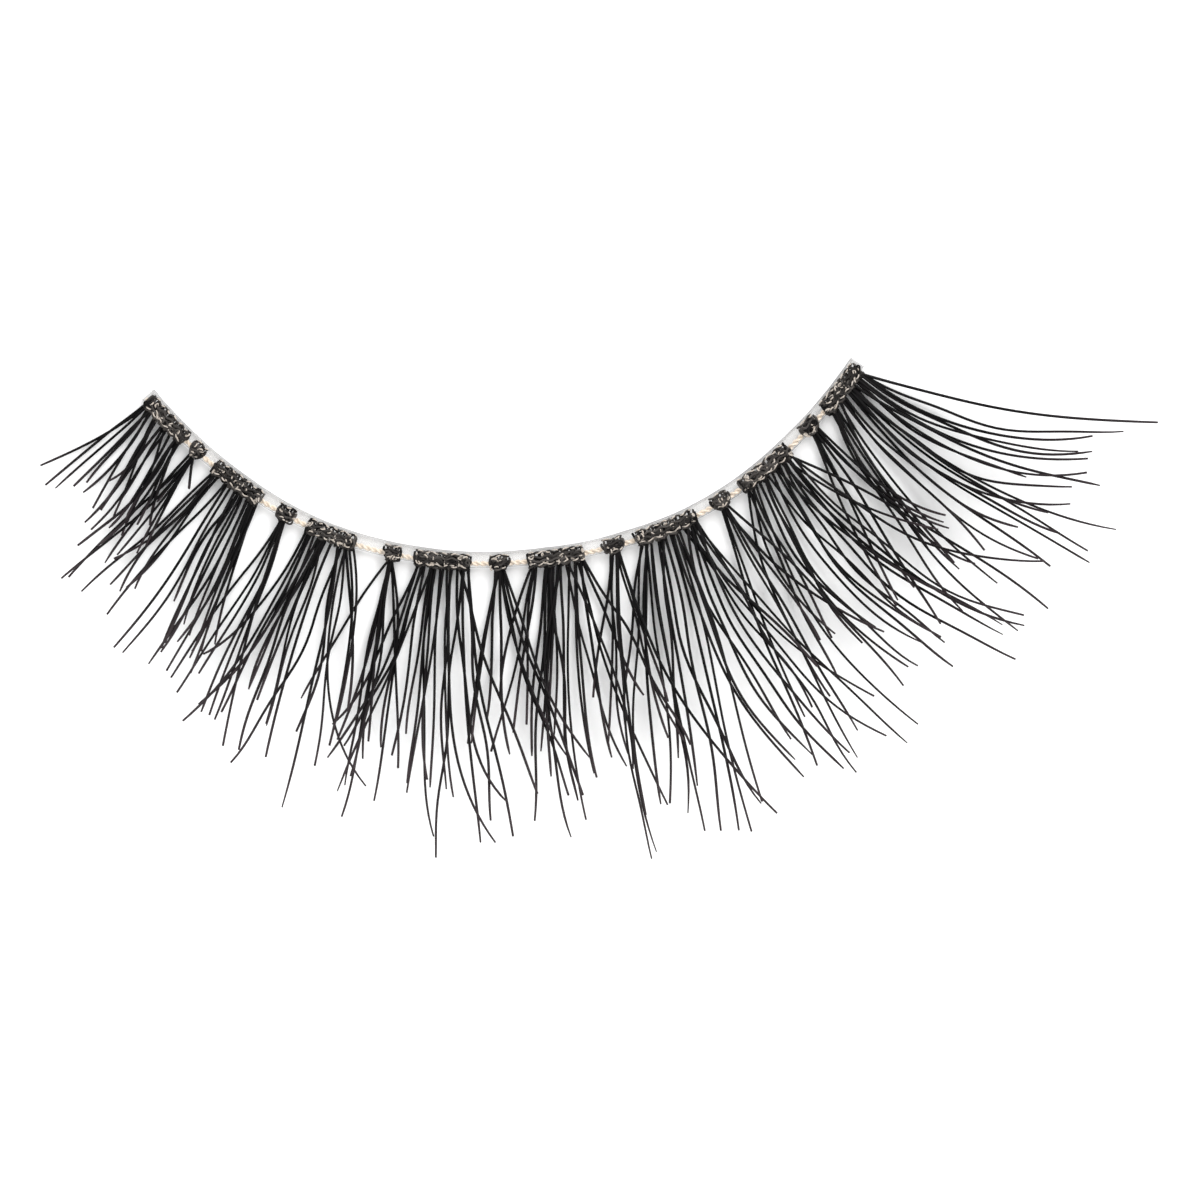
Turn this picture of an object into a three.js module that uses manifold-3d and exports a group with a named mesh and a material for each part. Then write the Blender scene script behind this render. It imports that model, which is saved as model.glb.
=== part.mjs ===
// A false eyelash strip lying on a surface: a clear curved band, the thread tied along it, and clusters of
// lashes that are wound on the thread in knots. X runs along the eyelid and Z points off the surface.
// The lashes point to -Y and curl up, and the origin is the middle of the band's underside.

import * as THREE from 'three';
import { mergeVertices } from 'three/addons/utils/BufferGeometryUtils.js';
import Module from 'manifold-3d';

const wasm = await Module();
wasm.setup();

// Sizes in millimetres
const BAND_LENGTH = 33;          // along the middle of the film, from end to end
const FILM_WIDTH = 0.7;          // across the band
const FILM_THICKNESS = 0.1;
const FILM_BARE_EDGE = 0.18;     // film that shows beside the knots, on the eyelid's side
const THREAD_DIAMETER = 0.2;
const KNOT_HEIGHT = 0.66;        // across the band
const WINDING = 0.09;            // thickness of the hair that is wound over and under the thread
const LONGEST_REACH = 12.4;      // from the band to the tip of the longest lock, seen from above
const CURL_RADIUS = 10.1;        // of the lashes' curl off the surface, where it starts
const FAN_LIFT = 0.75;           // how far the last lock of a cluster passes over the first of the next
const LIFT_REACH = 2.0;          // the reach within which most of that lift is gained
const LOCK_WIDTH = 0.24;         // at the knots
const LOCK_THICKNESS = 0.18;     // at the knots
const LOCK_TIP = 0.3;            // share of the lock's section that is left at its tip
const CLEARANCE = 0.03;          // between the pieces

// The band's curve: arcs that follow on without a corner, from the inner end to the outer end
const START_HEADING = -50;                       // degrees, from +X
const BAND_TURNS = [15, 20.5, 18, 15, 22, 15];   // degrees, of arcs of equal length

// How the two kinds of cluster are made
const KINDS = {
	wide: { knots: 4, locks: 8 },
	narrow: { knots: 1, locks: 4 },
};

// The clusters, from the inner end to the outer end. at and span are shares of the band's length. leans and
// reaches are those of the first and the last lock: degrees off the band's normal, and shares of the longest
// reach. bend is the turn of the locks, in degrees, between knot and tip.
const CLUSTERS = [
	{ kind: 'wide', at: 0.036, span: 0.068, leans: [-8, 14], reaches: [0.41, 0.46], bend: -6 },
	{ kind: 'narrow', at: 0.088, span: 0.020, leans: [-6, 12], reaches: [0.60, 0.38], bend: -4 },
	{ kind: 'wide', at: 0.150, span: 0.072, leans: [-11, 17], reaches: [0.60, 0.64], bend: -4 },
	{ kind: 'narrow', at: 0.219, span: 0.024, leans: [-9, 13], reaches: [0.68, 0.78], bend: -4 },
	{ kind: 'wide', at: 0.279, span: 0.064, leans: [-11, 18], reaches: [0.75, 0.84], bend: -4 },
	{ kind: 'narrow', at: 0.356, span: 0.022, leans: [-19, 11], reaches: [0.72, 0.84], bend: 0 },
	{ kind: 'wide', at: 0.417, span: 0.070, leans: [-16, 15], reaches: [0.70, 0.90], bend: 4 },
	{ kind: 'narrow', at: 0.486, span: 0.025, leans: [-12, 17], reaches: [0.60, 0.78], bend: 4 },
	{ kind: 'wide', at: 0.554, span: 0.071, leans: [-17, 12], reaches: [0.68, 0.86], bend: 8 },
	{ kind: 'narrow', at: 0.625, span: 0.027, leans: [-17, 15], reaches: [0.62, 1.00], bend: 12 },
	{ kind: 'wide', at: 0.691, span: 0.078, leans: [-18, 17], reaches: [0.88, 0.96], bend: 16 },
	{ kind: 'narrow', at: 0.765, span: 0.025, leans: [-9, 13], reaches: [0.90, 0.80], bend: 20 },
	{ kind: 'wide', at: 0.831, span: 0.077, leans: [-13, 18], reaches: [0.76, 0.98], bend: 24 },
	{ kind: 'narrow', at: 0.905, span: 0.026, leans: [-18, 6], reaches: [0.68, 0.62], bend: 22 },
	{ kind: 'wide', at: 0.964, span: 0.068, leans: [-18, 24], reaches: [0.84, 0.97], bend: 26 },
];
const RAGGED = 0.12;             // share by which every second lock is shorter

// What follows from the sizes
const THREAD_OUT = FILM_BARE_EDGE + KNOT_HEIGHT / 2 - FILM_WIDTH / 2;
const BORE_RADIUS = THREAD_DIAMETER / 2 + CLEARANCE;
const KNOT_DEPTH = 2 * (BORE_RADIUS + WINDING);
const KNOT_WAIST = 2 * (BORE_RADIUS + WINDING / 2) / KNOT_DEPTH;   // share of a knot that is left at its ends
const THREAD_UP = FILM_THICKNESS + CLEARANCE + KNOT_DEPTH / 2;
const ROOT_OUT = THREAD_OUT + (BORE_RADIUS + KNOT_HEIGHT / 2) / 2;
const DIP = Math.sqrt(2 * (THREAD_UP - LOCK_THICKNESS / 2) / CURL_RADIUS);

// How finely the curves are faceted
const BAND_STEPS = 36;
const THREAD_SIDES = 8;
const KNOT_SIDES = 8;
const BORE_STEPS = 4;
const LOCK_SIDES = 4;
const LOCK_STEPS = 6;
const MERGE_DISTANCE = 1e-5;
const SLIVER = 0.002;            // edges shorter than this, left by a cut, are cleaned away

const { degToRad, lerp } = THREE.MathUtils;

// The length of an arc's chord as a share of the arc
function chordShare(turn) {
	return turn === 0 ? 1 : Math.sin(turn / 2) / (turn / 2);
}

// The place and the heading at a share of the band's length, from the band's inner end
function walkBand(share) {
	const place = new THREE.Vector2();
	let heading = degToRad(START_HEADING);
	const arcShare = 1 / BAND_TURNS.length;
	let left = share;
	for (const [index, degrees] of BAND_TURNS.entries()) {
		const last = index === BAND_TURNS.length - 1;
		const part = last ? left : Math.min(left, arcShare);
		const turn = degToRad(degrees) * part / arcShare;
		const chord = part * BAND_LENGTH * chordShare(turn);
		place.x += chord * Math.cos(heading + turn / 2);
		place.y += chord * Math.sin(heading + turn / 2);
		heading += turn;
		left -= part;
	}
	return { place, heading };
}

const MIDDLE = walkBand(0.5).place;

// A point beside the band: out is measured from the film's middle towards the lashes, up from its underside
function besideBand(share, out, up) {
	const { place, heading } = walkBand(share);
	const x = place.x - MIDDLE.x + out * Math.sin(heading);
	const y = place.y - MIDDLE.y - out * Math.cos(heading);
	return new THREE.Vector3(x, y, up);
}

// A line that runs along the band at one distance from it
class BandLine extends THREE.Curve {

	constructor(out, up) {
		super();
		this.out = out;
		this.up = up;
	}

	getPoint(t, target = new THREE.Vector3()) {
		return target.copy(besideBand(t, this.out, this.up));
	}

}

// The middle line of a lock. It turns by its bend in the plane of the strip, dips from the knot towards the
// surface and curls up from there.
class LashLine extends THREE.Curve {

	constructor({ share, lean, bend, reach, lift }) {
		super();
		this.root = besideBand(share, ROOT_OUT, THREAD_UP);
		this.start = walkBand(share).heading - Math.PI / 2 + degToRad(lean - bend / 2);
		this.bend = degToRad(bend);
		this.reach = reach;
		this.lift = lift;
	}

	heading(t) {
		return this.start + this.bend * t;
	}

	getPoint(t, target = new THREE.Vector3()) {
		const turn = this.bend * t;
		const along = this.reach * t;
		const chord = along * chordShare(turn);
		const rise = this.lift * (1 - Math.exp(-along / LIFT_REACH));
		return target.set(
			this.root.x + chord * Math.cos(this.start + turn / 2),
			this.root.y + chord * Math.sin(this.start + turn / 2),
			this.root.z - DIP * along + along * along / (2 * CURL_RADIUS) + rise,
		);
	}

}

// Booleans
function toSolid(geometry) {
	const bare = geometry.clone();
	bare.deleteAttribute('normal');
	bare.deleteAttribute('uv');
	const merged = mergeVertices(bare, MERGE_DISTANCE);
	const corners = Array.from(merged.index.array);
	const triangles = [];
	for (let i = 0; i < corners.length; i += 3) {
		const [a, b, c] = corners.slice(i, i + 3);
		if (a !== b && b !== c && c !== a) triangles.push(a, b, c);
	}
	return new wasm.Manifold(new wasm.Mesh({
		numProp: 3,
		vertProperties: new Float32Array(merged.attributes.position.array),
		triVerts: new Uint32Array(triangles),
	}));
}

function toGeometry(solid) {
	const { vertProperties, triVerts } = solid.getMesh();
	const geometry = new THREE.BufferGeometry();
	geometry.setAttribute('position', new THREE.BufferAttribute(vertProperties, 3));
	geometry.setIndex(new THREE.BufferAttribute(triVerts, 1));
	geometry.computeVertexNormals();
	return geometry;
}

// Moves each vertex of a geometry to where place(x, y, z) puts it
function reshape(geometry, place) {
	const position = geometry.attributes.position;
	for (let i = 0; i < position.count; i++) {
		const moved = place(position.getX(i), position.getY(i), position.getZ(i));
		position.setXYZ(i, moved.x, moved.y, moved.z);
	}
	return geometry;
}

// The film is a flat ribbon between two lines along the band
function filmGeometry() {
	const near = new BandLine(-FILM_WIDTH / 2, 0).getPoints(BAND_STEPS);
	const far = new BandLine(FILM_WIDTH / 2, 0).getPoints(BAND_STEPS);
	const outline = new THREE.Shape([...far, ...near.reverse()]);
	return new THREE.ExtrudeGeometry(outline, { depth: FILM_THICKNESS, bevelEnabled: false });
}

function threadGeometry() {
	const section = new THREE.Shape();
	section.absarc(0, 0, THREAD_DIAMETER / 2, 0, 2 * Math.PI);
	return new THREE.ExtrudeGeometry(section, {
		steps: BAND_STEPS,
		curveSegments: THREAD_SIDES / 2,
		extrudePath: new BandLine(THREAD_OUT, THREAD_UP),
	});
}

// Lays a shape that is round the Y axis along the band, with its middle at a share of the band's length
function layOnBand(geometry, at) {
	return reshape(geometry, (x, y, z) => besideBand(at + y / BAND_LENGTH, THREAD_OUT + x, THREAD_UP + z));
}

// A row of barrel-shaped knots round the thread, each at its full size over the middle half of its length
function knotRow(at, length, knots) {
	const profile = [new THREE.Vector2(0, -length / 2)];
	for (let i = 0; i < knots; i++) {
		const knotPlace = (share) => length * ((i + share) / knots - 1 / 2);
		profile.push(new THREE.Vector2(KNOT_WAIST, knotPlace(0)));
		profile.push(new THREE.Vector2(1, knotPlace(1 / 4)));
		profile.push(new THREE.Vector2(1, knotPlace(3 / 4)));
	}
	profile.push(new THREE.Vector2(KNOT_WAIST, length / 2));
	profile.push(new THREE.Vector2(0, length / 2));
	const row = new THREE.LatheGeometry(profile, KNOT_SIDES, Math.PI / KNOT_SIDES);
	row.scale(KNOT_HEIGHT / 2, 1, KNOT_DEPTH / 2);
	return layOnBand(row, at);
}

function threadBore(at, length) {
	const bore = new THREE.CylinderGeometry(BORE_RADIUS, BORE_RADIUS, length, THREAD_SIDES, BORE_STEPS);
	return layOnBand(bore, at);
}

// A tapered lock that follows its line
function lockGeometry(line) {
	const lock = new THREE.CylinderGeometry(1, 1, 1, LOCK_SIDES, LOCK_STEPS);
	return reshape(lock, (x, y, z) => {
		const t = y + 0.5;
		const size = lerp(1, LOCK_TIP, t * t);
		const heading = line.heading(t);
		const side = new THREE.Vector3(Math.sin(heading), -Math.cos(heading), 0);
		const top = new THREE.Vector3().crossVectors(side, line.getTangent(t));
		return line.getPoint(t)
			.addScaledVector(side, x * size * LOCK_WIDTH / 2)
			.addScaledVector(top, z * size * LOCK_THICKNESS / 2);
	});
}

function clusterGeometry(row) {
	const { knots, locks } = KINDS[row.kind];
	const length = row.span * BAND_LENGTH;
	const rootSpan = (length - LOCK_WIDTH) / BAND_LENGTH;
	let solid = toSolid(knotRow(row.at, length, knots));
	for (let i = 0; i < locks; i++) {
		const across = i / (locks - 1);
		const ragged = i % 2 === 0 ? 1 - RAGGED : 1;
		const line = new LashLine({
			share: row.at + (across - 0.5) * rootSpan,
			lean: lerp(...row.leans, across),
			bend: row.bend,
			reach: LONGEST_REACH * ragged * lerp(...row.reaches, across),
			lift: FAN_LIFT * across,
		});
		solid = solid.add(toSolid(lockGeometry(line)));
	}
	const bore = toSolid(threadBore(row.at, length + KNOT_HEIGHT));
	return toGeometry(solid.subtract(bore).simplify(SLIVER));
}

// Materials
const clearFilm = new THREE.MeshStandardMaterial({
	color: 0xdedcd6,
	roughness: 0.35,
	metalness: 0,
	transparent: true,
	opacity: 0.6,
});
const creamThread = new THREE.MeshStandardMaterial({ color: 0xd6c6a6, roughness: 0.85, metalness: 0 });
const blackHair = new THREE.MeshStandardMaterial({ color: 0x17151a, roughness: 0.45, metalness: 0 });

// The strip
const strip = new THREE.Group();

function addPiece(name, geometry, material) {
	const piece = new THREE.Mesh(geometry, material);
	piece.name = name;
	strip.add(piece);
}

addPiece('clear_band', filmGeometry(), clearFilm);
addPiece('tying_thread', threadGeometry(), creamThread);

const made = { wide: 0, narrow: 0 };
for (const row of CLUSTERS) {
	made[row.kind] += 1;
	addPiece(`${row.kind}_cluster_${made[row.kind]}`, clusterGeometry(row), blackHair);
}

export default strip;
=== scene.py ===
"""A false eyelash strip as it lies on a table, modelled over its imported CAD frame, in metres."""

from collections import namedtuple
from math import cos, exp, pi, radians, sin, sqrt
from random import Random

import bpy
from bpy.props import FloatProperty, FloatVectorProperty, PointerProperty
from bpy.types import Operator, Panel, PropertyGroup
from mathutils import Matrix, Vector, noise


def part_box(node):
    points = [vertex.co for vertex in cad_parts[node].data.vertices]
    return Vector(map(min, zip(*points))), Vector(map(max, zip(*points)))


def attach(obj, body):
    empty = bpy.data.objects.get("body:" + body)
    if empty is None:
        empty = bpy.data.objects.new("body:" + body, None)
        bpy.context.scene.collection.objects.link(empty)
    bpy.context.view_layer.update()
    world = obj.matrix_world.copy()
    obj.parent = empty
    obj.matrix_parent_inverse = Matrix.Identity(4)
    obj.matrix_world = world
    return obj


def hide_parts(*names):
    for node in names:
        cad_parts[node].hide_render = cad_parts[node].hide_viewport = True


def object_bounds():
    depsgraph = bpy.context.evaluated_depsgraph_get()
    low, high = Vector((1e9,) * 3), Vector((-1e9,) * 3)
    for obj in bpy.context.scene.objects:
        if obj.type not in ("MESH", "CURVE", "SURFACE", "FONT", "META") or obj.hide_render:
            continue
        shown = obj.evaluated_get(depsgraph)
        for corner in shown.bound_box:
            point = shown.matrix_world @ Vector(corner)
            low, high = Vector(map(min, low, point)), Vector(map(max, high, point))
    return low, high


bl_info = {
    "name": "Eyelash strip",
    "version": (1, 0, 0),
    "blender": (4, 5, 0),
    "location": "3D View > Sidebar > Lashes",
    "description": "Models a false eyelash strip on its clear band",
    "category": "Object",
}

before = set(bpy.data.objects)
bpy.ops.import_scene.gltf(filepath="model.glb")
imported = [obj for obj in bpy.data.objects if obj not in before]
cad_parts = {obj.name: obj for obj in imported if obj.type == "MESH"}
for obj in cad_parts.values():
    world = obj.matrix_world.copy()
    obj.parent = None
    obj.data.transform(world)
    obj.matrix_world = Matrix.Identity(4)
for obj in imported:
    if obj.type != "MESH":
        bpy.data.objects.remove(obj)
cad_low, cad_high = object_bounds()
film_low, film_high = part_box("clear_band")
thread_low, thread_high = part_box("tying_thread")

MM = 0.001
CURVE_STEPS = 240
WINDING_STEPS = 16

# The band's curve from its inner end: where it heads first, and the turns of its arcs, in degrees. The arcs
# are equally long and follow on without a corner.
START_HEADING = -50
BAND_TURNS = (15, 20.5, 18, 15, 22, 15)

# The clusters from the inner to the outer end, as shares of the band's length and of the longest reach.
# Leans are in degrees off the band's normal, and bend is a lash's turn from its knot to its tip. Bunches is
# how many bunches its knots are tied in, and extra how many lashes it has besides its strands.
Cluster = namedtuple("Cluster", "node at span leans reaches bend bunches extra")
CLUSTERS = (
    Cluster("wide_cluster_1", 0.036, 0.068, (2, 24), (0.37, 0.41), -6, 4, 9),
    Cluster("narrow_cluster_1", 0.088, 0.020, (-6, 12), (0.60, 0.38), -4, 1, 3),
    Cluster("wide_cluster_2", 0.150, 0.072, (-11, 17), (0.60, 0.64), -4, 4, 7),
    Cluster("narrow_cluster_2", 0.219, 0.024, (-9, 13), (0.60, 0.70), -4, 1, 1),
    Cluster("wide_cluster_3", 0.279, 0.064, (-11, 18), (0.64, 0.84), -4, 4, 7),
    Cluster("narrow_cluster_3", 0.356, 0.022, (-19, 11), (0.72, 0.84), 0, 1, 2),
    Cluster("wide_cluster_4", 0.417, 0.070, (-16, 15), (0.70, 0.90), 4, 4, 8),
    Cluster("narrow_cluster_4", 0.486, 0.025, (-12, 17), (0.60, 0.78), 4, 1, 3),
    Cluster("wide_cluster_5", 0.554, 0.071, (-17, 12), (0.68, 0.86), 8, 4, 10),
    Cluster("narrow_cluster_5", 0.625, 0.027, (-17, 15), (0.62, 1.00), 12, 1, 2),
    Cluster("wide_cluster_6", 0.691, 0.078, (-18, 17), (0.88, 0.96), 16, 4, 10),
    Cluster("narrow_cluster_6", 0.765, 0.025, (6, 20), (0.80, 0.70), 20, 1, 2),
    Cluster("wide_cluster_7", 0.831, 0.077, (-13, 18), (0.74, 0.86), 24, 4, 9),
    Cluster("narrow_cluster_7", 0.905, 0.026, (-18, 6), (0.60, 0.55), 22, 1, 2),
    Cluster("wide_cluster_8", 0.964, 0.068, (-18, 16), (0.80, 0.90), 26, 4, 8),
)

# Strands that show by themselves: place across the cluster, lean in degrees, reach, how many lashes run
# together in each, and its turn in degrees from its knot to its tip
STRANDS = {
    "wide_cluster_1": (
        (0.07, 0, 0.41, 3, -10), (0.07, -13, 0.39, 1, -8), (0.3, 20, 0.36, 3, 2), (0.55, 8, 0.4, 2, -4),
        (0.88, 12, 0.31, 1, 4), (0.93, 7, 0.47, 2, -8),
    ),
    "narrow_cluster_1": (
        (0.5, 40, 0.11, 1, 10), (0.5, 6, 0.19, 1, 4), (0.6, 13, 0.33, 1, -4), (0.5, -6, 0.56, 1, -14),
        (0.6, -4, 0.58, 1, -18),
    ),
    "wide_cluster_2": (
        (0.09, -7, 0.57, 2, -4), (0.12, -4, 0.49, 2, -5), (0.4, 4, 0.64, 2, -6), (0.7, 9, 0.54, 3, -2),
        (0.85, 6, 0.62, 2, -16), (0.95, 12, 0.61, 3, 2), (0.92, 15, 0.51, 2, -3),
    ),
    "narrow_cluster_2": (
        (0.4, -8, 0.62, 1, -8), (0.5, 0, 0.65, 2, -6), (0.56, 8, 0.67, 2, -12), (0.6, 13, 0.75, 1, 3),
    ),
    "wide_cluster_3": (
        (0.09, -6, 0.73, 2, -8), (0.22, -1, 0.64, 3, -4), (0.47, 4, 0.73, 3, 18), (0.78, 7, 0.86, 2, -12),
        (0.87, 18, 0.8, 1, 30), (0.98, 12, 0.64, 2, -26),
    ),
    "narrow_cluster_3": (
        (0.3, -21, 0.53, 1, 8), (0.4, 2, 0.74, 2, -6), (0.5, 5, 0.84, 2, 10), (0.6, 15, 0.67, 1, 0),
        (0.6, 8, 0.78, 1, -28),
    ),
    "wide_cluster_4": (
        (0.1, -14, 0.69, 2, -12), (0.24, -3, 0.62, 2, -6), (0.3, 5, 0.87, 1, 6), (0.5, 2, 0.7, 3, 0),
        (0.72, 9, 0.91, 2, 8), (0.96, 9, 0.88, 2, 18), (0.96, 13, 0.87, 1, 14),
    ),
    "narrow_cluster_4": ((0.4, -12, 0.57, 2, 8), (0.7, 18, 0.76, 2, 20), (0.6, 15, 0.65, 1, 16)),
    "wide_cluster_5": (
        (0.11, -16, 0.61, 2, 0), (0.37, -10, 0.82, 2, 4), (0.45, -8, 0.6, 3, 2), (0.57, -7, 0.89, 1, 30),
        (0.77, -8, 0.83, 2, 6), (0.92, -5, 0.7, 2, 4), (0.96, 11, 0.48, 1, -8),
    ),
    "narrow_cluster_5": (
        (0.2, -23, 0.47, 1, 0), (0.3, -12, 0.65, 1, 6), (0.7, -10, 0.99, 2, 8), (0.9, 15, 0.99, 1, 28),
        (0.8, 3, 0.51, 1, 6),
    ),
    "wide_cluster_6": (
        (0.09, -17, 0.87, 2, 6), (0.24, -11, 0.84, 3, 2), (0.49, -10, 0.96, 2, -6), (0.68, -9, 0.99, 2, -8),
        (0.88, -1, 0.84, 2, 24), (0.96, 6, 0.93, 2, 36), (0.97, 6, 0.95, 1, -4), (0.98, 15, 0.93, 2, 24),
    ),
    "narrow_cluster_6": ((0.3, -11, 0.88, 2, 8), (0.6, -2, 0.91, 2, 5), (0.9, 14, 0.81, 1, -8)),
    "wide_cluster_7": (
        (0.12, -9, 0.66, 2, 12), (0.31, -5, 0.94, 2, 30), (0.54, -1, 0.79, 3, 28), (0.74, 1, 0.86, 2, 38),
        (0.84, 8, 0.99, 2, 38), (0.93, 10, 0.94, 2, 24), (0.98, 15, 0.96, 1, -12),
    ),
    "narrow_cluster_7": ((0.4, -21, 0.62, 2, 4), (0.5, -14, 0.74, 1, 5), (0.9, 4, 0.54, 2, 12)),
    "wide_cluster_8": (
        (0.15, -16, 0.77, 2, 12), (0.21, -10, 0.93, 2, 22), (0.5, 0, 0.82, 4, 25), (0.56, 3, 0.95, 2, 22),
        (0.67, 6, 0.97, 1, 20), (0.73, 9, 0.83, 3, 42), (0.9, 17, 0.8, 3, 40), (0.96, 22, 0.87, 1, 38),
        (0.98, 24, 0.96, 1, 13),
    ),
}


# Sizes and colours


def distance(name, default, description):
    return FloatProperty(
        name=name,
        description=description,
        default=default,
        min=0,
        precision=5,
        subtype="DISTANCE",
        unit="LENGTH",
    )


def position(name, default, description):
    return FloatVectorProperty(
        name=name,
        description=description,
        default=default,
        size=3,
        subtype="TRANSLATION",
        unit="LENGTH",
    )


def power(name, default, description):
    return FloatProperty(name=name, description=description, default=default, min=0, unit="POWER")


def colour(name, default, description):
    return FloatVectorProperty(
        name=name,
        description=description,
        default=default,
        size=3,
        min=0,
        max=1,
        subtype="COLOR",
    )


class BandSizes(PropertyGroup):
    """The clear band and the thread along it"""

    length: distance("Length", 33 * MM, "Length of the band along its curve")
    width: distance("Width", 0.62 * MM, "Width of the film")
    thickness: distance("Thickness", film_high.z - film_low.z, "Thickness of the film")
    bare_edge: distance("Bare edge", 0.08 * MM, "Film that shows beside the knots on the eyelid's side")
    end_spare: distance("Spare ends", 0.08 * MM, "Film that stands past the last knots")
    thread_up: distance(
        "Thread height", (thread_low.z + thread_high.z) / 2, "Height of the thread's middle"
    )
    ply_radius: distance("Ply radius", 0.058 * MM, "Radius of each of the thread's two plies")
    twist_pitch: distance("Twist pitch", 0.55 * MM, "Length of one turn of the plies")


class KnotSizes(PropertyGroup):
    """The windings of hair round the thread"""

    height: distance("Height", 0.78 * MM, "Height of a knot across the band")
    depth: distance("Depth", 0.44 * MM, "Height of a knot off the band")
    hair_radius: distance("Hair radius", 0.05 * MM, "Radius of the hair that is wound")
    spacing: distance("Spacing", 0.1 * MM, "From one winding to the next")
    stitch_radius: distance("Stitch radius", 0.027 * MM, "Radius of the cream stitches")


class LashSizes(PropertyGroup):
    """The lashes"""

    longest: distance("Longest reach", 12.4 * MM, "Reach of the longest lash, seen from above")
    curl_radius: distance("Curl radius", 10.1 * MM, "Radius of the curl off the surface")
    radius: distance("Radius", 0.06 * MM, "Radius of a lash at its knot")
    tip_radius: distance("Tip radius", 0.04 * MM, "Radius of a lash at its tip")
    root_out: distance("Root", 0.39 * MM, "From the film's middle to where a lash leaves its knot")
    fan_lift: distance(
        "Fan lift", 0.6 * MM, "How far a cluster's last lash passes over the next cluster's first"
    )


class Colours(PropertyGroup):
    """The colours of the finishes"""

    lash: colour("Lash", (0.0022, 0.002, 0.0022), "Black of the lashes")
    lash_worn: colour("Lash, paler", (0.008, 0.007, 0.0074), "Charcoal of the palest lashes")
    # The knots' paler hair colour is partly the hair's own varying tone and partly painted highlight: it is
    # lifted to stand in for the grey shine on the knots
    wound: colour("Wound hair, paler", (0.088, 0.08, 0.074), "Brown grey of the palest hair in the knots")
    lash_tip: colour("Lash tips", (0.044, 0.034, 0.037), "Plum brown that the tips fade to")
    thread: colour("Thread", (0.74, 0.62, 0.49), "Cream of the thread")
    stitch: colour("Stitches", (0.44, 0.375, 0.31), "Beige of the stitches among the wound hair")
    film: colour("Film", (0.78, 0.77, 0.76), "Milky grey of the film")
    floor: colour("Floor", (0.93, 0.93, 0.93), "Near white of the floor")


class StageSizes(PropertyGroup):
    """The camera, the lights and the floor"""

    view_width: distance("View width", 48 * MM, "Width of what the camera sees at the strip")
    camera_height: distance("Camera height", 0.6, "Height of the camera over the strip")
    key_place: position("Key light's place", (0.26, 0.38, 0.34), "Where the key light hangs")
    key_size: distance("Key light's size", 0.5, "Width of the key light")
    key_power: power("Key light", 3.0, "Power of the key light")
    fill_place: position("Fill light's place", (-0.3, -0.3, 0.6), "Where the fill light hangs")
    fill_size: distance("Fill light's size", 0.6, "Width of the fill light")
    fill_power: power("Fill light", 0.5, "Power of the fill light")
    world_light: FloatProperty(
        name="Ambient light",
        description="Strength of the light all round",
        default=1.2,
        min=0,
    )


# The band's curve


class BandCurve:
    """The curve that the band lies in."""

    def __init__(self, length):
        self.length = length
        # Places count from the inner end at first, and from the band's middle once that is known
        self.middle = Vector((0, 0))
        self.middle = self.walk(0.5)[0]

    def walk(self, share):
        """The place and the heading at a share of the band's length."""
        place = Vector((0, 0))
        heading = radians(START_HEADING)
        arc_share = 1 / len(BAND_TURNS)
        left = share
        for index, degrees in enumerate(BAND_TURNS):
            part = left if index == len(BAND_TURNS) - 1 else min(left, arc_share)
            turn = radians(degrees) * part / arc_share
            chord = part * self.length * (sin(turn / 2) / (turn / 2) if turn else 1)
            place += chord * Vector((cos(heading + turn / 2), sin(heading + turn / 2)))
            heading += turn
            left -= part
        return place - self.middle, heading

    def out_of(self, point):
        """How far a point lies to the lashes' side of the film's middle."""
        spots = (self.walk(i / CURVE_STEPS) for i in range(CURVE_STEPS + 1))
        place, heading = min(spots, key=lambda spot: (point.xy - spot[0]).length)
        offset = point.xy - place
        return offset.x * sin(heading) - offset.y * cos(heading)

    def beside(self, share, out, up):
        """A point beside the band: out counts from the film's middle to the lashes, up from the floor."""
        place, heading = self.walk(share)
        return Vector((place.x + out * sin(heading), place.y - out * cos(heading), up))


# Modelling


def deselect_all():
    if bpy.context.mode != "OBJECT":
        bpy.ops.object.mode_set(mode="OBJECT")
    bpy.ops.object.select_all(action="DESELECT")


def only(piece):
    """Makes a piece the only selected one, and the active one."""
    deselect_all()
    piece.select_set(True)
    bpy.context.view_layer.objects.active = piece


def apply_modifiers(piece):
    only(piece)
    for modifier in list(piece.modifiers):
        bpy.ops.object.modifier_apply(modifier=modifier.name)


def close_up(piece):
    """Merges doubles, closes the open ends and turns all faces outwards."""
    only(piece)
    bpy.ops.object.mode_set(mode="EDIT")
    bpy.ops.mesh.select_all(action="SELECT")
    bpy.ops.mesh.remove_doubles(threshold=1e-6)
    bpy.ops.mesh.fill_holes(sides=0)
    bpy.ops.mesh.normals_make_consistent(inside=False)
    bpy.ops.object.mode_set(mode="OBJECT")


def finish_piece(piece, name, material, nodes=()):
    """Names a piece, gives it its material and lets it stand for CAD nodes."""
    piece.name = name
    piece.data.name = name
    piece.data.materials.clear()
    piece.data.materials.append(material)
    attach(piece, "root")
    if nodes:
        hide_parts(*nodes)


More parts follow.
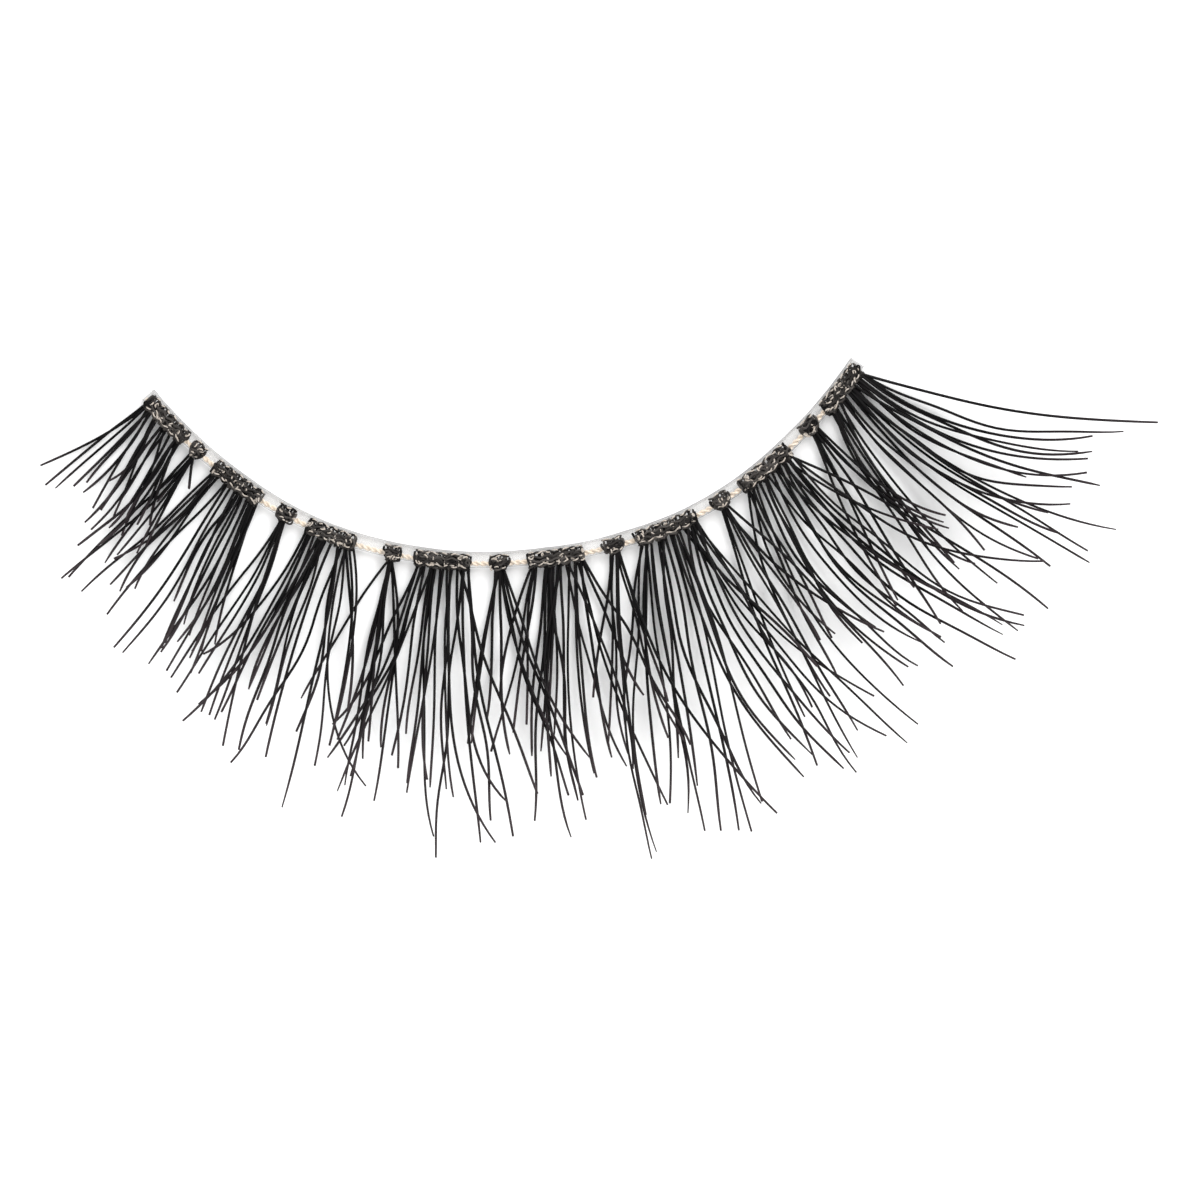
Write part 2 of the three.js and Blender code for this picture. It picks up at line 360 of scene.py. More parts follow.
class Tubes:
    """A mesh of many tubes, each swept along its own points."""

    sides = 6

    def __init__(self):
        self.verts = []
        self.faces = []
        self.along = []
        self.tone = []
        self.uvs = []

    def add(self, points, radii, tone, closed=False):
        """Sweeps one tube. A closed one runs back into its own start, and an open one gets flat ends."""
        sides = self.sides
        first = len(self.verts)
        count = len(points)
        if closed:
            ahead, behind = points[1:] + points[:1], points[-1:] + points[:-1]
        else:
            ahead, behind = points[1:] + points[-1:], points[:1] + points[:-1]
        tangents = [(after - before).normalized() for after, before in zip(ahead, behind)]
        side = tangents[0].orthogonal().normalized()
        middle = sum(points, Vector()) / count
        travelled = 0
        lengths = []
        for i, (point, tangent, radius) in enumerate(zip(points, tangents, radii)):
            if closed:
                side = point - middle
            side = (side - tangent * side.dot(tangent)).normalized()
            other = tangent.cross(side)
            for j in range(sides):
                angle = 2 * pi * j / sides
                self.verts.append(point + radius * (cos(angle) * side + sin(angle) * other))
            if i:
                travelled += (point - points[i - 1]).length
            lengths.append(travelled)
            self.along.extend([i / (count - 1)] * sides)
            self.tone.extend([tone] * sides)
        if closed:
            lengths.append(travelled + (points[0] - points[-1]).length)
        for i in range(len(lengths) - 1):
            ring, following = first + i * sides, first + (i + 1) % count * sides
            low, high = lengths[i] / MM, lengths[i + 1] / MM
            for j in range(sides):
                k = (j + 1) % sides
                self.faces.append((ring + j, ring + k, following + k, following + j))
                left, right = j / sides, (j + 1) / sides
                self.uvs.extend((left, low, right, low, right, high, left, high))
        if not closed:
            last = first + (count - 1) * sides
            self.faces.append(tuple(first + j for j in reversed(range(sides))))
            self.faces.append(tuple(last + j for j in range(sides)))
            self.uvs.extend((0.5, 0) * sides)
            self.uvs.extend((0.5, travelled / MM) * sides)

    def add_even(self, points, radius, tone, closed=False):
        """Sweeps one tube that is equally thick all along."""
        self.add(points, [radius] * len(points), tone, closed)

    def to_piece(self, name):
        mesh = bpy.data.meshes.new(name)
        mesh.from_pydata(self.verts, [], self.faces)
        for title, values in (("along", self.along), ("tone", self.tone)):
            attribute = mesh.attributes.new(title, "FLOAT", "POINT")
            attribute.data.foreach_set("value", values)
        strand = mesh.uv_layers.new(name="strand")
        strand.data.foreach_set("uv", self.uvs)
        mesh.polygons.foreach_set("use_smooth", [True] * len(mesh.polygons))
        mesh.update()
        piece = bpy.data.objects.new(name, mesh)
        bpy.context.scene.collection.objects.link(piece)
        return piece


def mix(low, high, share):
    return low + (high - low) * share


# Materials


class Value:
    """A socket that Python's operators work on."""

    def __init__(self, finish, socket):
        self.finish = finish
        self.socket = socket

    def __add__(self, other):
        return self.finish.maths("ADD", self, other)

    def __rsub__(self, other):
        return self.finish.maths("SUBTRACT", other, self)

    def __mul__(self, other):
        return self.finish.maths("MULTIPLY", self, other)

    def __pow__(self, other):
        return self.finish.maths("POWER", self, other)


class Finish:
    """A material in the making."""

    def __init__(self, name):
        self.material = bpy.data.materials.new(name)
        self.material.use_nodes = True
        self.tree = self.material.node_tree
        self.shader = self.tree.nodes["Principled BSDF"]

    def node(self, kind, settings=None, inputs=None, output=0):
        """Adds a node, makes its settings, fills its sockets and hands back one of its outputs."""
        made = self.tree.nodes.new("ShaderNode" + kind)
        for key, value in (settings or {}).items():
            setattr(made, key, value)
        for key, value in (inputs or {}).items():
            self.fill(made.inputs[key], value)
        return Value(self, made.outputs[output])

    def fill(self, socket, value):
        if isinstance(value, Value):
            self.tree.links.new(value.socket, socket)
        else:
            socket.default_value = value

    def maths(self, operation, first, second):
        return self.node("Math", {"operation": operation}, {0: first, 1: second})

    def between(self, value, low, high, to_low=0.0, to_high=1.0):
        """Maps a value from one range to another and keeps it there."""
        sockets = {"Value": value, "From Min": low, "From Max": high}
        sockets.update({"To Min": to_low, "To Max": to_high})
        return self.node("MapRange", None, sockets)

    def blend(self, share, first, second):
        """Mixes two colours."""
        sockets = {0: share, 6: as_colour(first), 7: as_colour(second)}
        return self.node("Mix", {"data_type": "RGBA"}, sockets, 2)

    def noise(self, place, scale, detail=3.0, roughness=0.5):
        sockets = {"Vector": place, "Scale": scale, "Detail": detail, "Roughness": roughness}
        return self.node("TexNoise", None, sockets)

    def attribute(self, name):
        return self.node("Attribute", {"attribute_name": name}, None, "Fac")

    def stretched(self, place, scale):
        return self.node("Mapping", None, {"Vector": place, "Scale": scale})

    def bump(self, height, strength, distance):
        return self.node("Bump", None, {"Height": height, "Strength": strength, "Distance": distance})

    def give(self, **inputs):
        """Fills the shader's own sockets. Two words of a socket's name are joined by an underscore."""
        for key, value in inputs.items():
            self.fill(self.shader.inputs[key.replace("_", " ")], value)
        return self.material


def as_colour(value):
    return value if isinstance(value, Value) else (*value, 1)


def lash_finish(name, body_colour, paler_colour, tip_colour, dullness):
    """Synthetic hair: fine streaks along it, paler hairs among the dark ones, and ends that fade."""
    finish = Finish(name)
    along = finish.attribute("along")
    tone = finish.attribute("tone")
    strand = finish.node("UVMap", {"uv_map": "strand"})
    streaks = finish.noise(finish.stretched(strand, (9.0, 0.8, 1.0)), scale=3.0)
    patches = finish.noise(finish.stretched(strand, (0.5, 1.4, 1.0)), scale=1.0)
    paleness = finish.between(tone * 0.75 + streaks * 0.5, low=0.35, high=1.15)
    body = finish.blend(paleness, body_colour, paler_colour)
    fade = finish.between(along + patches * 0.16, low=0.62, high=1.1) ** 1.6
    finish.give(
        Base_Color=finish.blend(fade * 0.9, body, tip_colour),
        Roughness=streaks * 0.22 + patches * 0.12 + dullness,
        Normal=finish.bump(streaks, strength=0.35, distance=0.006 * MM),
    )
    return finish.give(Specular_IOR_Level=0.07)


def thread_finish(name, base):
    """Twisted thread with fine fibres."""
    finish = Finish(name)
    place = finish.node("TexCoord", None, None, "Object")
    stretched = finish.stretched(place, (1.0, 1.0, 3.0))
    fibres = finish.noise(stretched, scale=14000.0, detail=4.0, roughness=0.6)
    soiling = finish.noise(place, scale=1600.0, detail=2.0)
    paler = tuple(mix(channel, 1, 0.25) for channel in base)
    darker = tuple(channel * 0.64 for channel in base)
    shade = finish.blend(finish.between(fibres, low=0.35, high=0.7), darker, paler)
    evenness = finish.between(soiling, low=0.4, high=0.7, to_high=0.5)
    finish.give(
        Base_Color=finish.blend(evenness, shade, base),
        Roughness=fibres * 0.25 + 0.65,
        Normal=finish.bump(fibres, strength=0.6, distance=0.012 * MM),
    )
    return finish.give(Sheen_Weight=0.35, Sheen_Roughness=0.4)


def film_finish(colours):
    """Clear film that is milky and clouded, denser and greyer at its rims, with painted shade along its
    eyelid edge.
    """
    finish = Finish("clear_film")
    place = finish.node("TexCoord", None, None, "Object")
    facing = finish.node("SeparateXYZ", None, {0: finish.node("TexCoord", None, None, "Normal")}, "Z")
    across = finish.attribute("across")
    steepness = finish.between(1 - facing * facing, low=0.1, high=0.9)
    # Along the eyelid edge the film is painted greyer and denser: painted shade, added to the darker steep
    # edges of the film
    eyelid_painted_shade = finish.between(across, low=-0.6, high=-0.95, to_high=0.5)
    rims_and_painted_shade = steepness + eyelid_painted_shade
    clouds = finish.noise(place, scale=900.0, detail=3.0)
    grain = finish.noise(place, scale=9000.0, detail=4.0)
    darker = tuple(channel * 0.14 for channel in colours.film)
    return finish.give(
        Base_Color=finish.blend(rims_and_painted_shade * 0.8 + clouds * 0.15, colours.film, darker),
        Alpha=clouds * 0.2 + rims_and_painted_shade * 0.75 + 0.08,
        Roughness=grain * 0.25 + 0.18,
        Normal=finish.bump(grain * 0.5 + clouds, strength=0.35, distance=0.02 * MM),
    )


def floor_finish(colours):
    """Matt white board with a barely visible tooth."""
    finish = Finish("studio_floor")
    place = finish.node("TexCoord", None, None, "Object")
    tooth = finish.noise(place, scale=2500.0, detail=3.0)
    paler = tuple(min(1, channel * 1.01) for channel in colours.floor)
    finish.give(
        Base_Color=finish.blend(tooth, colours.floor, paler),
        Roughness=tooth * 0.1 + 0.8,
    )
    return finish.give(Specular_IOR_Level=0.2)


# Operators


def film_to_knots(scene):
    """How far the knots' middle line lies to the lashes' side of the film's middle."""
    band, knots = scene.band_sizes, scene.knot_sizes
    return band.bare_edge + knots.height / 2 - band.width / 2


class LASHES_OT_clear_band(Operator):
    """Spins the film's section through the band's arcs"""

    bl_idname = "lashes.clear_band"
    bl_label = "Clear band"

    # The section's corners, as a share of its thickness
    corner = 0.42
    corner_steps = 3
    arc_steps = 12
    # The film's edge and its thickness wander, slowly and quickly along the band
    slow_wander = 2.2 * MM
    quick_wander = 0.6 * MM
    edge_wander = 0.03 * MM
    thickness_wander = 0.25

    def execute(self, context):
        sizes = context.scene.band_sizes
        curve = BandCurve(sizes.length)
        place, heading = curve.walk(0)
        deselect_all()
        bpy.ops.mesh.primitive_plane_add(
            size=1,
            location=(place.x, place.y, sizes.thickness / 2),
            rotation=(pi / 2, 0, heading - pi / 2),
        )
        film = context.active_object
        film.scale = (sizes.width, sizes.thickness, 1)
        bpy.ops.object.transform_apply()
        bpy.ops.object.mode_set(mode="EDIT")
        bpy.ops.mesh.select_all(action="SELECT")
        bpy.ops.mesh.bevel(
            offset=self.corner * sizes.thickness,
            segments=self.corner_steps,
            affect="VERTICES",
        )
        bpy.ops.mesh.select_all(action="SELECT")
        bpy.ops.mesh.delete(type="ONLY_FACE")
        bpy.ops.mesh.select_all(action="SELECT")
        back = -sizes.end_spare * Vector((cos(heading), sin(heading), 0))
        bpy.ops.transform.translate(value=back)
        bpy.ops.mesh.extrude_edges_move(TRANSFORM_OT_translate={"value": -back})
        arc = sizes.length / len(BAND_TURNS)
        for index, degrees in enumerate(BAND_TURNS):
            place, heading = curve.walk(index / len(BAND_TURNS))
            centre = place + arc / radians(degrees) * Vector((-sin(heading), cos(heading)))
            bpy.ops.mesh.spin(
                steps=self.arc_steps,
                dupli=False,
                angle=-radians(degrees),
                center=(centre.x, centre.y, 0),
                axis=(0, 0, 1),
            )
        heading = curve.walk(1)[1]
        ahead = sizes.end_spare * Vector((cos(heading), sin(heading), 0))
        bpy.ops.mesh.extrude_edges_move(TRANSFORM_OT_translate={"value": ahead})
        close_up(film)
        self.wander(film)
        across = film.data.attributes.new("across", "FLOAT", "POINT")
        shares = [2 * curve.out_of(vertex.co) / sizes.width for vertex in film.data.vertices]
        across.data.foreach_set("value", shares)
        bpy.ops.object.shade_smooth_by_angle(angle=radians(60))
        clear = film_finish(context.scene.finish_colours)
        finish_piece(film, "clear_film_band", clear, ["clear_band"])
        return {"FINISHED"}

    def wander(self, film):
        """Makes the film's edges and its thickness a little uneven."""
        for vertex in film.data.vertices:
            slow = noise.noise(vertex.co / self.slow_wander)
            quick = noise.noise(vertex.co / self.quick_wander)
            wander = slow + 0.5 * quick
            vertex.co.y += self.edge_wander * wander
            vertex.co.z = max(0, vertex.co.z * (1 + self.thickness_wander * wander))


class LASHES_OT_tying_thread(Operator):
    """Twists two plies and lays them along the band"""

    bl_idname = "lashes.tying_thread"
    bl_label = "Tying thread"

    ply_sides = 8
    # From the thread's middle to a ply's, in ply radii: the two press a little into each other
    ply_offset = 0.92
    twist_steps = 14

    def execute(self, context):
        sizes = context.scene.band_sizes
        deselect_all()
        plies = []
        for side in (-1, 1):
            bpy.ops.mesh.primitive_circle_add(
                vertices=self.ply_sides,
                radius=sizes.ply_radius,
                location=(0, 0, side * self.ply_offset * sizes.ply_radius),
                rotation=(0, pi / 2, 0),
            )
            plies.append(context.active_object)
        for ply in plies:
            ply.select_set(True)
        bpy.ops.object.join()
        thread = context.active_object
        bpy.ops.object.transform_apply()
        turns = round(sizes.length / sizes.twist_pitch)
        twist = thread.modifiers.new("Twist", "SCREW")
        twist.axis = "X"
        twist.angle = 2 * pi
        twist.screw_offset = sizes.length / turns
        twist.iterations = turns
        twist.steps = twist.render_steps = self.twist_steps
        twist.use_merge_vertices = False
        apply_modifiers(thread)
        guide = self.guide(context.scene)
        lay = thread.modifiers.new("Lay", "CURVE")
        lay.object = guide
        apply_modifiers(thread)
        bpy.data.objects.remove(guide)
        close_up(thread)
        bpy.ops.object.shade_smooth()
        cream = thread_finish("cream_thread", context.scene.finish_colours.thread)
        finish_piece(thread, "twisted_thread", cream, ["tying_thread"])
        return {"FINISHED"}

    def guide(self, scene):
        """A line along the middle of the thread, from end to end of the band."""
        sizes = scene.band_sizes
        curve = BandCurve(sizes.length)
        path = bpy.data.curves.new("thread_path", "CURVE")
        path.dimensions = "3D"
        line = path.splines.new("POLY")
        line.points.add(CURVE_STEPS)
        out = film_to_knots(scene)
        for i, point in enumerate(line.points):
            point.co = (*curve.beside(i / CURVE_STEPS, out, sizes.thread_up), 1)
        guide = bpy.data.objects.new("thread_path", path)
        scene.collection.objects.link(guide)
        return guide


class LASHES_OT_knots(Operator):
    """Winds each cluster's hair round the thread and ties it with cream stitches"""

    bl_idname = "lashes.knots"
    bl_label = "Knots"

    seed = 11
    # The knots in the middle of the band, as a share of the height of those at its ends
    middle_height = 0.92
    # How far a bunch draws in at its lash side and how round its ends are, in a row and by itself
    row_form = (0.2, 0.16)
    single_form = (0.34, 0.34)
    # How wide a bunch by itself spreads, as a share of its cluster's span
    single_spread = 1.18
    least_windings = 4
    least_curls = 3
    curl_spacing = 0.16 * MM
    bunch_stitches = 4
    stitch_squeeze = 0.7
    # Strands along a cluster: where they run, as shares of the knots' half height, how far they keep to a
    # row's span, how they swing to and fro in each bunch, and how deep the stitches among them dive
    hair_lines = (-0.82, -0.35, 0.1, 0.62)
    stitch_lines = (-0.86, 0.45)
    line_span = 0.94
    bunch_steps = 8
    bunch_swing = 2.3 * pi
    line_swing = 0.04 * MM
    stitch_weave = 0.09 * MM

    def winding(self, middle, place, slant, height, depth):
        """A closed loop round the thread. place and slant are lengths along the band, and the loop's lash
        side is drawn to the middle of its bunch."""
        points = []
        for i in range(WINDING_STEPS):
            angle = 2 * pi * i / WINDING_STEPS
            side, rise = cos(angle), sin(angle)
            along = place * (1 - self.pinch * (1 + side + side * side) / 2) + slant * side
            share = middle + along / self.band.length
            out = self.out + height / 2 * side
            points.append(self.curve.beside(share, out, self.band.thread_up + depth / 2 * rise))
        return points

    def curl(self, share, out, radius, squeeze, tilt, turn):
        """A small closed curl that lies on the windings, tilted about a line turned from the band's."""
        centre = self.curve.beside(share, out, self.top)
        heading = self.curve.walk(share)[1] + turn
        ahead = Vector((cos(heading), sin(heading), 0))
        aside = Vector((-sin(heading) * cos(tilt), cos(heading) * cos(tilt), sin(tilt)))
        points = []
        for i in range(WINDING_STEPS):
            angle = 2 * pi * i / WINDING_STEPS
            points.append(centre + radius * (cos(angle) * ahead + squeeze * sin(angle) * aside))
        return points

    def run(self, cluster, out, weave, phase):
        """A strand over the knots from one end of the cluster to the other, its ends dipped in. out is a
        share of the knots' half height, and weave how far it dives between the windings."""
        steps = self.bunch_steps * cluster.bunches
        shorter = 0 if cluster.bunches > 1 else 0.24 * (1 + out)
        length = cluster.span * (self.line_span - shorter)
        points = []
        for i in range(steps + 1):
            t = i / steps
            wave = phase + self.bunch_swing * cluster.bunches * t
            arch = min(1, 4 * sin(pi * t))
            crown = self.sizes.depth / 2 * mix(0.1, sqrt(1 - out * out) + 0.12, arch)
            up = self.band.thread_up + crown + weave * cos(1.4 * wave)
            share = cluster.at + (t - 0.5) * length
            aside = self.out + out * self.half + self.line_swing * sin(wave)
            points.append(self.curve.beside(share, aside, up))
        return points

    def add_windings(self, windings, middle, bunch, width):
        """Winds a bunch with loops side by side, smaller towards its ends."""
        rng, sizes = self.rng, self.sizes
        count = max(self.least_windings, round(bunch / sizes.spacing))
        for i in range(count):
            place = (i / (count - 1) - 0.5) * width + rng.gauss(0, 0.012 * MM)
            radius = sizes.hair_radius * rng.uniform(0.9, 1.15)
            lobe = 1 - self.rounding * abs(2 * i / (count - 1) - 1) ** 3
            height = 2 * (self.half - radius) * rng.uniform(0.86, 1.05) * lobe
            depth = (sizes.depth - 2 * radius) * rng.uniform(0.84, 0.98) * lobe
            points = self.winding(middle, place, rng.gauss(0, 0.03 * MM), height, depth)
            windings.add_even(points, radius, rng.random(), closed=True)

    def add_curls(self, windings, middle, bunch, width):
        """Lays curls of hair on a bunch's windings."""
        rng = self.rng
        count = max(self.least_curls, round(bunch / self.curl_spacing))
        for i in range(count):
            along = ((i + rng.uniform(0.2, 0.8)) / count - 0.5) * width * (1 - self.pinch)
            out = self.out + rng.uniform(-0.14, 0.16) * self.flatness * MM
            radius = rng.uniform(0.09, 0.17) * MM
            tilt, turn = rng.uniform(-0.6, 0.6), rng.uniform(-1.2, 1.2)
            squeeze = rng.uniform(0.55, 1.0)
            points = self.curl(middle + along / self.band.length, out, radius, squeeze, tilt, turn)
            thickness = self.sizes.hair_radius * rng.uniform(0.75, 0.95)
            windings.add_even(points, thickness, rng.random(), closed=True)

    def add_stitches(self, stitches, middle, width):
        """Sets steep little stitches among a bunch's curls."""
        rng = self.rng
        for _ in range(self.bunch_stitches):
            along = rng.uniform(-0.46, 0.46) * width
            out = self.out + rng.uniform(-0.22, 0.22) * self.flatness * MM
            radius = rng.uniform(0.06, 0.1) * MM
            tilt, turn = rng.choice((-1, 1)) * rng.uniform(0.7, 1.3), rng.uniform(-1.6, 1.6)
            share = middle + along / self.band.length
            points = self.curl(share, out, radius, self.stitch_squeeze, tilt, turn)
            thickness = self.sizes.stitch_radius * rng.uniform(0.8, 1.2)
            stitches.add_even(points, thickness, rng.random(), closed=True)

    def knot_cluster(self, cluster, windings, stitches):
        """Ties one cluster, bunch by bunch, and runs its strands and stitches along it."""
        rng, sizes = self.rng, self.sizes
        in_row = cluster.bunches > 1
        self.flatness = mix(self.middle_height, 1, abs(2 * cluster.at - 1))
        self.half = self.flatness * sizes.height / 2
        self.pinch, self.rounding = self.row_form if in_row else self.single_form
        bunch = cluster.span * self.band.length / cluster.bunches
        width = bunch * (1 if in_row else self.single_spread) - 1.2 * sizes.hair_radius
        for index in range(cluster.bunches):
            middle = cluster.at + ((index + 0.5) / cluster.bunches - 0.5) * cluster.span
            self.add_windings(windings, middle, bunch, width)
            self.add_curls(windings, middle, bunch, width)
            self.add_stitches(stitches, middle, width)
        for out in self.hair_lines:
            points = self.run(cluster, out, 0, rng.uniform(0, 2 * pi))
            radius = sizes.hair_radius * rng.uniform(0.8, 0.95)
            windings.add_even(points, radius, rng.uniform(0.2, 0.9))
        for out in self.stitch_lines:
            points = self.run(cluster, out, self.stitch_weave, rng.uniform(0, 2 * pi))
            stitches.add_even(points, sizes.stitch_radius, rng.random())

    def execute(self, context):
        self.band, self.sizes = context.scene.band_sizes, context.scene.knot_sizes
        self.curve = BandCurve(self.band.length)
        self.out = film_to_knots(context.scene)
        self.top = self.band.thread_up + self.sizes.depth / 2 - 0.3 * self.sizes.hair_radius
        self.rng = Random(self.seed)
        colours = context.scene.finish_colours
        # The wound hair's paler colour carries painted highlight as well as the hair's own tone
        shades = (colours.lash, colours.wound, colours.lash_worn)
        hair = lash_finish("wound_hair", *shades, dullness=0.34)
        beige = thread_finish("beige_stitches", colours.stitch)
        stitches = Tubes()
        for cluster in CLUSTERS:
            windings = Tubes()
            self.knot_cluster(cluster, windings, stitches)
            name = cluster.node.replace("cluster", "knots")
            finish_piece(windings.to_piece(name), name, hair, [cluster.node])
        finish_piece(stitches.to_piece("stitches"), "stitches", beige)
        return {"FINISHED"}


class LASHES_OT_lashes(Operator):
    """Draws every lash of each cluster from its knot to its tip"""

    bl_idname = "lashes.lashes"
    bl_label = "Lashes"

    seed = 82
    steps = 26
    # The share of a cluster's span that its roots take up
    root_span = 0.94
    # How far a root keeps to its own place rather than to its bunch's middle, in a row and by itself
    row_keep = 0.85
    single_keep = 0.45
    # Where a lash starts and where it nears the edge, inside its knot
    root_inside = 0.42 * MM
    edge_inside = 0.2 * MM
    # How much of its shift up or down a lash has at its root, and over which length it loses it
    root_shift = 0.6
    shift_length = 0.5 * MM
    # Over which length a lash rises to the height at which it passes its neighbours
    lift_length = 2 * MM
    # How far lashes that run together stand apart, across the cluster and in degrees
    apart = 0.18
    lean_apart = 1.5
    # A lash slims to this share of its root's radius before its tip
    slimming = 0.92

    def lash(self, cluster, across, lean, reach, turn, hook):
        """The points of one lash, the first few of them inside the knot. turn is how far it bends on its
        way, and hook how far its end bends besides, both in degrees."""
        rng, sizes, thread_up = self.rng, self.sizes, self.band.thread_up
        bunch = (min(int(across * cluster.bunches), cluster.bunches - 1) + 0.5) / cluster.bunches
        gathered = mix(bunch, across, self.row_keep if cluster.bunches > 1 else self.single_keep)
        share = cluster.at + (gathered - 0.5) * cluster.span * self.root_span
        over = rng.uniform(-0.13, 0.15) * MM
        root = self.curve.beside(share, sizes.root_out, thread_up)
        bend, hook = radians(turn), radians(hook)
        heading = self.curve.walk(share)[1] - pi / 2 + radians(lean) - bend / 2 - hook * 0.1
        curl = sizes.curl_radius * rng.uniform(0.86, 1.16)
        dip = sqrt(2 * (thread_up - 1.3 * sizes.radius) / curl)
        lift = sizes.fan_lift * mix(0.25, 1, across) * rng.uniform(0.3, 1.2)
        wave, phase = rng.uniform(0.02, 0.12) * MM, rng.uniform(0, 2 * pi)
        period = rng.uniform(5, 11) * MM
        ahead = Vector((cos(heading), sin(heading), 0))
        points = [
            root - self.root_inside * ahead + Vector((0, 0, over * self.root_shift)),
            root - self.edge_inside * ahead + Vector((0, 0, over)),
        ]
        place = Vector((root.x, root.y))
        for i in range(self.steps + 1):
            t = i / self.steps
            along = reach * t
            if i:
                turned = heading + bend * (t - 0.5 / self.steps) + hook * t**3
                place += Vector((cos(turned), sin(turned))) * reach / self.steps
            turned = heading + bend * t + hook * t**3
            swing = sin(2 * pi * along / period + phase)
            aside = Vector((-sin(turned), cos(turned))) * wave * swing * min(1, 3 * t)
            rise = lift * (1 - exp(-along / self.lift_length))
            rise += over * self.root_shift * exp(-along / self.shift_length)
            up = root.z - dip * along + along * along / (2 * curl) + rise
            points.append(Vector((*(place + aside), max(up, sizes.radius * 1.1))))
        return points

    def taper(self, count):
        """The radii of one lash: slimmer by little and little, and then quickly at its tip."""
        root_radius = self.sizes.radius * self.rng.uniform(0.88, 1.08)
        tip_radius = self.sizes.tip_radius * self.rng.uniform(0.7, 1.3)
        blunt = self.rng.uniform(0.84, 0.97)
        radii = []
        for i in range(count):
            t = i / (count - 1)
            slim = mix(root_radius, self.slimming * root_radius, t)
            radii.append(mix(slim, tip_radius, max(0, (t - blunt) / (1 - blunt)) ** 1.5))
        return radii

    def plan(self, cluster):
        """Place across, lean, reach, turn and hook of each of a cluster's lashes."""
        rng = self.rng
        lashes = []
        for across, lean, reach, count, turn in STRANDS[cluster.node]:
            hook = rng.gauss(0, 9)
            for i in range(count):
                spread = i - (count - 1) / 2
                place = across + self.apart * spread / sqrt(cluster.bunches) + rng.gauss(0, 0.015)
                length = reach * (1 if i == 0 else rng.uniform(0.82, 1.02))
                aim = lean + self.lean_apart * spread + rng.gauss(0, 0.8)
                lashes.append((place, aim, length, turn + rng.gauss(0, 2), hook + rng.gauss(0, 2)))
        for i in range(cluster.extra):
            across = (i + rng.random()) / cluster.extra
            aim = mix(*cluster.leans, across) + rng.gauss(0, 6)
            length = mix(*cluster.reaches, across) * rng.uniform(0.64, 1.06)
            hook = max(-26, min(22, rng.gauss(0, 14)))
            lashes.append((across, aim, length, cluster.bend + rng.gauss(0, 8), hook))
        return lashes

    def execute(self, context):
        self.band, self.sizes = context.scene.band_sizes, context.scene.lash_sizes
        self.curve = BandCurve(self.band.length)
        self.rng = Random(self.seed)
        colours = context.scene.finish_colours
        shades = (colours.lash, colours.lash_worn, colours.lash_tip)
        hair = lash_finish("black_lash", *shades, dullness=0.24)
        for cluster in CLUSTERS:
            tubes = Tubes()
            for across, lean, reach, turn, hook in self.plan(cluster):
                points = self.lash(cluster, across, lean, reach * self.sizes.longest, turn, hook)
                tubes.add(points, self.taper(len(points)), self.rng.random())
            name = cluster.node.replace("cluster", "lashes")
            finish_piece(tubes.to_piece(name), name, hair, [cluster.node])
        return {"FINISHED"}


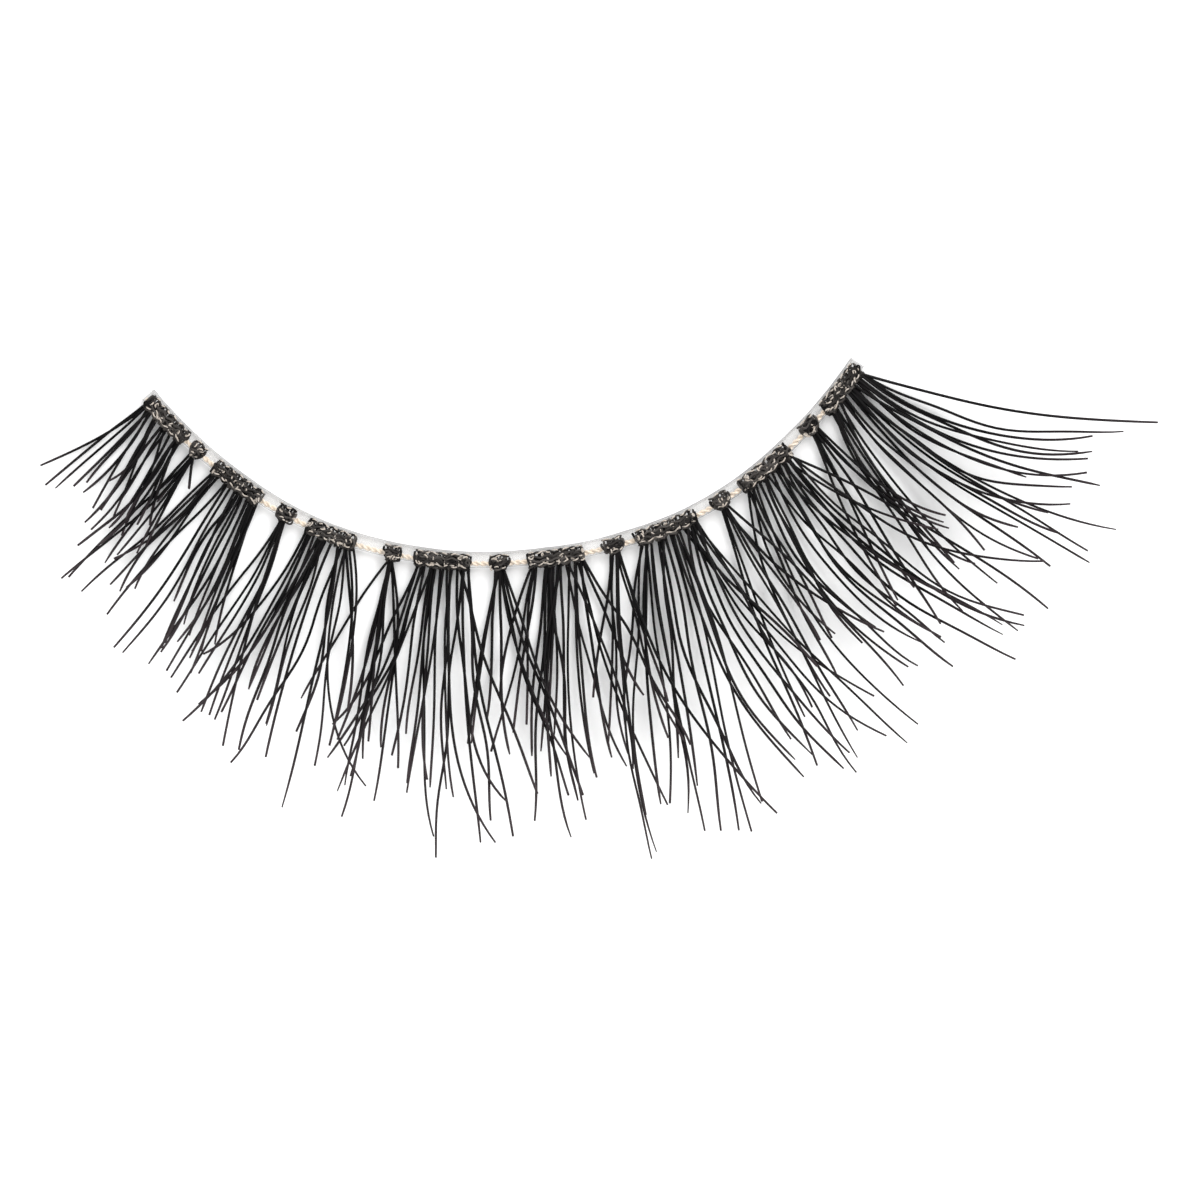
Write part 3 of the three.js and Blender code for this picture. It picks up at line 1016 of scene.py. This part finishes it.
class LASHES_OT_stage(Operator):
    """Lays the floor and sets the lights and the camera straight above the strip"""

    bl_idname = "lashes.stage"
    bl_label = "Stage"

    floor_size = 6
    floor_drop = 0.03 * MM
    sensor_width = 36
    near_clip = 0.01
    far_clip = 20

    def area_light(self, name, place, size, power):
        light = bpy.data.lights.new(name, "AREA")
        light.shape = "DISK"
        light.size = size
        light.energy = power
        lamp = bpy.data.objects.new(name, light)
        lamp.location = place
        lamp.rotation_euler = (-Vector(place)).to_track_quat("-Z", "Y").to_euler()
        bpy.context.scene.collection.objects.link(lamp)

    def execute(self, context):
        scene = context.scene
        sizes = scene.stage_sizes
        deselect_all()
        bpy.ops.mesh.primitive_plane_add(size=self.floor_size, location=(0, 0, -self.floor_drop))
        floor = context.active_object
        floor.name = "studio_floor"
        floor.data.materials.append(floor_finish(scene.finish_colours))
        self.area_light("key_light", sizes.key_place, sizes.key_size, sizes.key_power)
        self.area_light("fill_light", sizes.fill_place, sizes.fill_size, sizes.fill_power)
        world = bpy.data.worlds.new("studio")
        world.use_nodes = True
        background = world.node_tree.nodes["Background"]
        background.inputs["Color"].default_value = (1, 1, 1, 1)
        background.inputs["Strength"].default_value = sizes.world_light
        scene.world = world
        scene.view_settings.view_transform = "Standard"
        middle = (cad_low + cad_high) / 2
        camera = bpy.data.cameras.new("camera")
        camera.sensor_width = self.sensor_width
        camera.lens = camera.sensor_width * sizes.camera_height / sizes.view_width
        camera.clip_start, camera.clip_end = self.near_clip, self.far_clip
        eye = bpy.data.objects.new("camera", camera)
        eye.location = (middle.x, middle.y, sizes.camera_height)
        scene.collection.objects.link(eye)
        scene.camera = eye
        return {"FINISHED"}


class LASHES_PT_panel(Panel):
    """Lists the sizes, the colours and the pieces"""

    bl_idname = "LASHES_PT_panel"
    bl_label = "Eyelash strip"
    bl_space_type = "VIEW_3D"
    bl_region_type = "UI"
    bl_category = "Lashes"

    def draw(self, context):
        for title, group in GROUPS.items():
            box = self.layout.box()
            settings = getattr(context.scene, title)
            for name in group.__annotations__:
                box.prop(settings, name)
        for operator in OPERATORS:
            self.layout.operator(operator.bl_idname)


GROUPS = {
    "band_sizes": BandSizes,
    "knot_sizes": KnotSizes,
    "lash_sizes": LashSizes,
    "finish_colours": Colours,
    "stage_sizes": StageSizes,
}
OPERATORS = (
    LASHES_OT_clear_band,
    LASHES_OT_tying_thread,
    LASHES_OT_knots,
    LASHES_OT_lashes,
    LASHES_OT_stage,
)


def register():
    for part in (*GROUPS.values(), *OPERATORS, LASHES_PT_panel):
        bpy.utils.register_class(part)
    for title, group in GROUPS.items():
        setattr(bpy.types.Scene, title, PointerProperty(type=group))


def unregister():
    for title in GROUPS:
        delattr(bpy.types.Scene, title)
    for part in reversed((*GROUPS.values(), *OPERATORS, LASHES_PT_panel)):
        bpy.utils.unregister_class(part)


def main():
    register()
    bpy.ops.lashes.clear_band()
    bpy.ops.lashes.tying_thread()
    bpy.ops.lashes.knots()
    bpy.ops.lashes.lashes()
    bpy.ops.lashes.stage()


if __name__ == "__main__":
    main()
